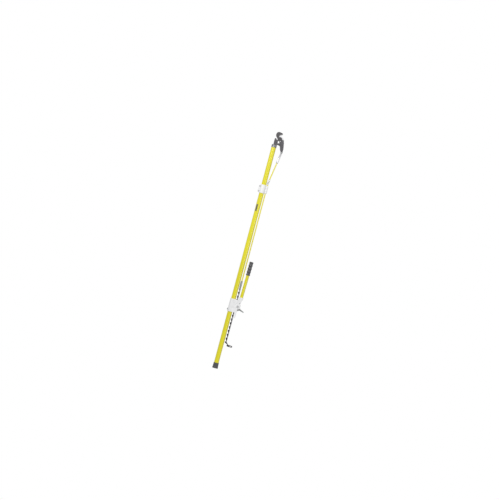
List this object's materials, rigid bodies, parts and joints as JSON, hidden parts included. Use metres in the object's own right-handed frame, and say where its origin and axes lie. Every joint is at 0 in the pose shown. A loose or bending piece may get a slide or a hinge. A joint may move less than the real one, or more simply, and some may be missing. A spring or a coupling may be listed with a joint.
{
  "type": "hot stick ratchet cutter",
  "caption": "Insulated pole with a hooked cable cutter on its end, worked from below by a ratchet lever, roller chain and pull rod.",
  "frame": {"origin": "centre of the butt cap's end face, where the pole is held", "axes": "+Z along the pole to the cutter, +X towards the pull rod and lever, -Y is the front"},
  "size_m": [0.1447, 0.058, 1.9666],
  "materials": {
    "arm_bolt": "plated",
    "arm_bolt_nut": "plated",
    "blade_pivot": "machined",
    "blank_label": "film",
    "butt_cap": "moulded",
    "chain_fork": "plated",
    "clevis_pin": "plated",
    "coupler_pin": "plated",
    "cutter_arm": "dark finish",
    "cutting_blade": "dark finish",
    "drive_pawl_pin": "machined",
    "drive_pin": "plated",
    "driving_pawl": "plated",
    "fixed_handle": "dark finish",
    "foam_core": "foam",
    "fork_pin": "plated",
    "frame_screw": "plated",
    "guide_bolt_0": "plated",
    "guide_bolt_0_nut": "plated",
    "guide_bolt_1": "plated",
    "guide_bolt_1_nut": "plated",
    "guide_bushing": "nylon",
    "guide_clamp": "as cast",
    "head_ferrule": "machined",
    "holding_pawl": "plated",
    "hook_blade": "dark finish",
    "hook_bolt": "plated",
    "hook_bolt_nut": "plated",
    "lever_grip": "moulded",
    "lever_tube": "satin",
    "lever_yoke": "as cast",
    "link_clevis": "machined",
    "link_eye": "machined",
    "link_nut": "plated",
    "lower_rod": "satin",
    "pawl_pin": "machined",
    "pole_tube": "satin",
    "ratchet_frame": "as cast",
    "ratchet_shaft": "machined",
    "ratchet_wheel": "machined",
    "rod_coupler": "machined",
    "roller_chain": "plated",
    "shaft_ring_front": "plated",
    "shaft_ring_rear": "plated",
    "sprocket": "plated",
    "upper_rod": "satin"
  },
  "bodies": {
    "pole": {"arm_bolt": "arm_bolt", "arm_bolt_nut": "arm_bolt_nut", "blade_pivot": "blade_pivot", "blank_label": "blank_label", "butt_cap": "butt_cap", "fixed_handle": "fixed_handle", "foam_core": "foam_core", "frame_screw": "frame_screw", "guide_bolt_0": "guide_bolt_0", "guide_bolt_0_nut": "guide_bolt_0_nut", "guide_bolt_1": "guide_bolt_1", "guide_bolt_1_nut": "guide_bolt_1_nut", "guide_bushing": "guide_bushing", "guide_clamp": "guide_clamp", "head_ferrule": "head_ferrule", "hook_blade": "hook_blade", "hook_bolt": "hook_bolt", "hook_bolt_nut": "hook_bolt_nut", "pawl_pin": "pawl_pin", "pole_tube": "pole_tube", "ratchet_frame": "ratchet_frame", "ratchet_shaft": "ratchet_shaft", "shaft_ring_front": "shaft_ring_front", "shaft_ring_rear": "shaft_ring_rear"},
    "rod": {"lower_rod": "lower_rod", "rod_coupler": "rod_coupler", "coupler_pin": "coupler_pin", "chain_fork": "chain_fork", "fork_pin": "fork_pin", "roller_chain": "roller_chain"},
    "link": {"link_eye": "link_eye", "upper_rod": "upper_rod", "link_nut": "link_nut", "link_clevis": "link_clevis", "clevis_pin": "clevis_pin"},
    "arm": {"cutter_arm": "cutter_arm", "drive_pin": "drive_pin"},
    "blade": {"cutting_blade": "cutting_blade"},
    "wheel": {"sprocket": "sprocket", "ratchet_wheel": "ratchet_wheel"},
    "holding_pawl": {"holding_pawl": "holding_pawl"},
    "lever": {"lever_yoke": "lever_yoke", "lever_tube": "lever_tube", "lever_grip": "lever_grip", "drive_pawl_pin": "drive_pawl_pin"},
    "driving_pawl": {"driving_pawl": "driving_pawl"}
  },
  "joints": [
    {"name": "rod_slide", "type": "slide", "parent": "pole", "child": "rod", "axis": [0, 0, -1], "range_m": [-0.0275, 0.0068]},
    {"name": "link_tilt", "type": "hinge", "parent": "rod", "child": "link", "pos_m": [0.03, 0, 1.547], "axis": [0, 1, 0], "range_deg": [-1.4, 5.5]},
    {"name": "arm_swing", "type": "hinge", "parent": "pole", "child": "arm", "pos_m": [0.032, 0, 1.8696], "axis": [0, 1, 0], "range_deg": [-31.6, 7.9]},
    {"name": "blade_turn", "type": "hinge", "parent": "pole", "child": "blade", "pos_m": [0.029, 0, 1.9065], "axis": [0, 1, 0], "range_deg": [-7.1, 28.5]},
    {"name": "wheel_spin", "type": "hinge", "parent": "pole", "child": "wheel", "pos_m": [0.05074, 0, 0.525], "axis": [0, 1, 0], "range_deg": [-18.9, 76.1]},
    {"name": "holding_pawl_turn", "type": "hinge", "parent": "pole", "child": "holding_pawl", "pos_m": [0.072, 0, 0.503], "axis": [0, -1, 0], "range_deg": [0, 10]},
    {"name": "lever_swing", "type": "hinge", "parent": "pole", "child": "lever", "pos_m": [0.05074, 0, 0.525], "axis": [0, 1, 0], "range_deg": [0, 80]},
    {"name": "driving_pawl_turn", "type": "hinge", "parent": "lever", "child": "driving_pawl", "pos_m": [0.05874, 0, 0.55288], "axis": [0, 1, 0], "range_deg": [0, 15]}
  ],
  "couplings": [
    {"joint": "link_tilt", "follows": "rod_slide", "rad_per_m": -3.45},
    {"joint": "arm_swing", "follows": "rod_slide", "rad_per_m": 20},
    {"joint": "blade_turn", "follows": "rod_slide", "rad_per_m": -18},
    {"joint": "wheel_spin", "follows": "rod_slide", "rad_per_m": -48.212}
  ]
}
